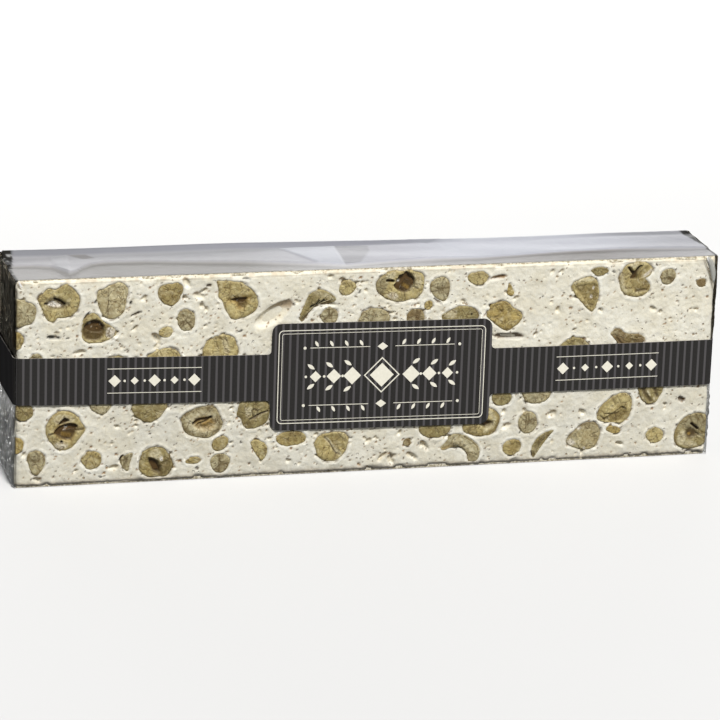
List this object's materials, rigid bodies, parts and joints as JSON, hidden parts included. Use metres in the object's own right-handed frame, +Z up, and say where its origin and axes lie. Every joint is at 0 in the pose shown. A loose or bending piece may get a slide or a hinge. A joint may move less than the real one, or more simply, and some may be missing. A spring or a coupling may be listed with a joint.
{
  "type": "wrapped hazelnut nougat bar",
  "caption": "Wrapped slice of hazelnut nougat between two wafer sheets, with folded film ends and a paper band with a wider plate.",
  "frame": {"origin": "centre of the bar's footprint, on the surface it stands on", "axes": "+X along the length, +Y through the thickness to the back face (the plate of the band is on the -Y side), +Z up"},
  "size_m": [0.199, 0.027, 0.058],
  "materials": {
    "nougat": "cream white aerated nougat, sawn face with small pits, slightly waxy",
    "hazelnut": "roasted hazelnut, cut face tan with a browner rim",
    "wafer": "thin white wafer sheet, matt",
    "band": "charcoal paper with fine grey upright stripes, matt",
    "film": "clear glossy film, folded and creased"
  },
  "bodies": {
    "root": {"band": "band", "film_end_left": "film", "film_end_right": "film", "hazelnut_back_ring_02": "hazelnut", "hazelnut_back_ring_03": "hazelnut", "hazelnut_back_ring_05": "hazelnut", "hazelnut_back_ring_11": "hazelnut", "hazelnut_back_ring_12": "hazelnut", "hazelnut_back_ring_13": "hazelnut", "hazelnut_back_slit_08": "hazelnut", "hazelnut_back_slit_10": "hazelnut", "hazelnut_back_slit_15": "hazelnut", "hazelnut_back_whole_01": "hazelnut", "hazelnut_back_whole_04": "hazelnut", "hazelnut_back_whole_06": "hazelnut", "hazelnut_back_whole_07": "hazelnut", "hazelnut_back_whole_09": "hazelnut", "hazelnut_back_whole_14": "hazelnut", "hazelnut_back_whole_16": "hazelnut", "hazelnut_front_ring_02": "hazelnut", "hazelnut_front_ring_03": "hazelnut", "hazelnut_front_ring_07": "hazelnut", "hazelnut_front_ring_10": "hazelnut", "hazelnut_front_ring_27": "hazelnut", "hazelnut_front_ring_28": "hazelnut", "hazelnut_front_ring_33": "hazelnut", "hazelnut_front_slit_05": "hazelnut", "hazelnut_front_slit_20": "hazelnut", "hazelnut_front_slit_21": "hazelnut", "hazelnut_front_slit_23": "hazelnut", "hazelnut_front_slit_25": "hazelnut", "hazelnut_front_whole_01": "hazelnut", "hazelnut_front_whole_04": "hazelnut", "hazelnut_front_whole_06": "hazelnut", "hazelnut_front_whole_08": "hazelnut", "hazelnut_front_whole_09": "hazelnut", "hazelnut_front_whole_11": "hazelnut", "hazelnut_front_whole_12": "hazelnut", "hazelnut_front_whole_13": "hazelnut", "hazelnut_front_whole_14": "hazelnut", "hazelnut_front_whole_15": "hazelnut", "hazelnut_front_whole_16": "hazelnut", "hazelnut_front_whole_17": "hazelnut", "hazelnut_front_whole_18": "hazelnut", "hazelnut_front_whole_19": "hazelnut", "hazelnut_front_whole_22": "hazelnut", "hazelnut_front_whole_24": "hazelnut", "hazelnut_front_whole_26": "hazelnut", "hazelnut_front_whole_29": "hazelnut", "hazelnut_front_whole_30": "hazelnut", "hazelnut_front_whole_31": "hazelnut", "hazelnut_front_whole_32": "hazelnut", "hazelnut_left_ring_02": "hazelnut", "hazelnut_left_whole_01": "hazelnut", "hazelnut_right_slit_01": "hazelnut", "hazelnut_right_whole_02": "hazelnut", "nougat": "nougat", "wafer_bottom": "wafer", "wafer_top": "wafer"}
  },
  "joints": []
}
